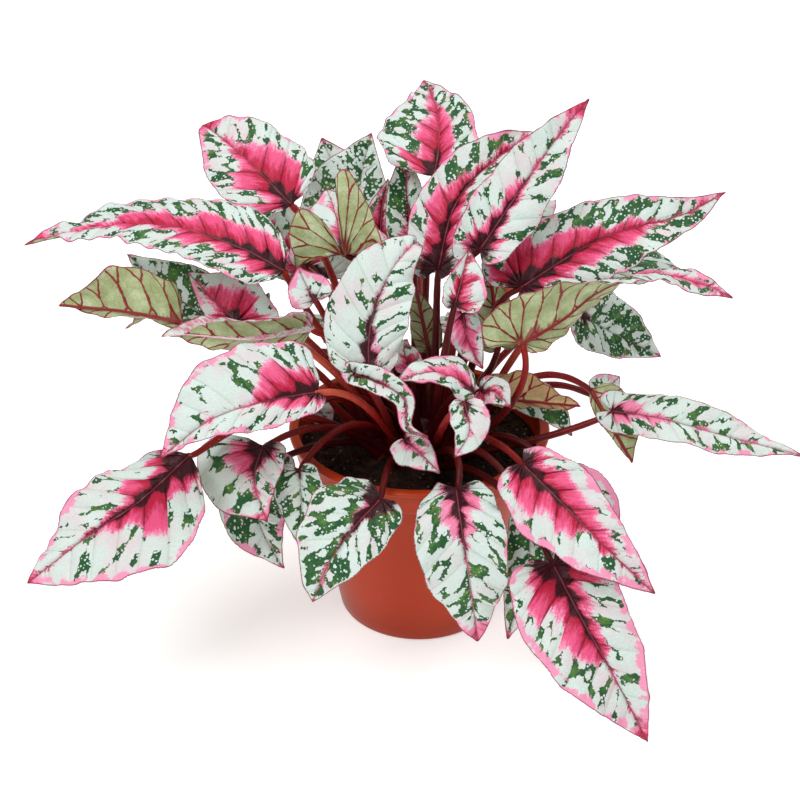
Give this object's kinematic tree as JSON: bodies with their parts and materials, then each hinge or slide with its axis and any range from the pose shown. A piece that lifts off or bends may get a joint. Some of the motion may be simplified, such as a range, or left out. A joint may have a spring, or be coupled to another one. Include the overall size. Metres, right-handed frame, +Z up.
{
  "type": "potted rex begonia",
  "caption": "Rex begonia in a tapered plastic nursery pot, with long-stalked, pointed, waved leaves arching out over the rim all round.",
  "frame": {"origin": "middle of the pot's flat underside", "axes": "+Z up, -Y towards the side that the plant is shown from, +X to that side's right"},
  "size_m": [0.3361, 0.2637, 0.2452],
  "materials": {
    "pot": "terracotta-coloured moulded plastic, slightly glossy",
    "soil": "dark damp peat potting mix",
    "stalks": "fleshy red-brown petioles with fine hairs",
    "silver_leaf": "silvery mint leaf, satin, green blotches",
    "pink_leaf": "leaf with a hot pink centre and silver margins",
    "spotted_leaf": "dark green leaf with round silver spots",
    "leaf_underside": "olive-green leaf underside with dark red veins"
  },
  "bodies": {
    "root": {"pot": "pot", "soil": "soil", "rhizome_and_petioles": "stalks", "leaf_blade_01": "silver_leaf", "leaf_blade_02": "spotted_leaf", "leaf_blade_03": "leaf_underside", "leaf_blade_04": "pink_leaf", "leaf_blade_05": "spotted_leaf", "leaf_blade_06": "pink_leaf", "leaf_blade_07": "silver_leaf", "leaf_blade_08": "pink_leaf", "leaf_blade_09": "leaf_underside", "leaf_blade_10": "spotted_leaf", "leaf_blade_11": "pink_leaf", "leaf_blade_12": "pink_leaf", "leaf_blade_13": "spotted_leaf", "leaf_blade_14": "leaf_underside", "leaf_blade_15": "pink_leaf", "leaf_blade_16": "leaf_underside", "leaf_blade_17": "silver_leaf", "leaf_blade_18": "silver_leaf", "leaf_blade_19": "silver_leaf", "leaf_blade_20": "spotted_leaf", "leaf_blade_21": "spotted_leaf", "leaf_blade_22": "spotted_leaf", "leaf_blade_23": "silver_leaf", "leaf_blade_24": "silver_leaf", "leaf_blade_25": "pink_leaf", "leaf_blade_26": "spotted_leaf", "leaf_blade_27": "pink_leaf", "leaf_blade_28": "leaf_underside", "leaf_blade_29": "pink_leaf", "leaf_blade_30": "pink_leaf", "leaf_blade_31": "pink_leaf", "leaf_blade_32": "leaf_underside", "leaf_blade_33": "silver_leaf", "leaf_blade_34": "pink_leaf", "leaf_blade_35": "pink_leaf", "leaf_blade_36": "silver_leaf", "leaf_blade_37": "silver_leaf", "leaf_blade_38": "spotted_leaf", "leaf_blade_39": "silver_leaf", "leaf_blade_40": "spotted_leaf", "leaf_blade_41": "silver_leaf", "leaf_blade_42": "leaf_underside", "leaf_blade_43": "silver_leaf", "leaf_blade_44": "silver_leaf", "leaf_blade_45": "pink_leaf", "leaf_blade_46": "silver_leaf", "leaf_blade_47": "silver_leaf", "leaf_blade_48": "spotted_leaf", "leaf_blade_49": "pink_leaf", "leaf_blade_50": "silver_leaf", "leaf_blade_51": "spotted_leaf", "leaf_blade_52": "pink_leaf", "leaf_blade_53": "spotted_leaf", "leaf_blade_54": "pink_leaf", "leaf_blade_55": "silver_leaf", "leaf_blade_56": "pink_leaf", "leaf_blade_57": "leaf_underside"}
  },
  "joints": []
}
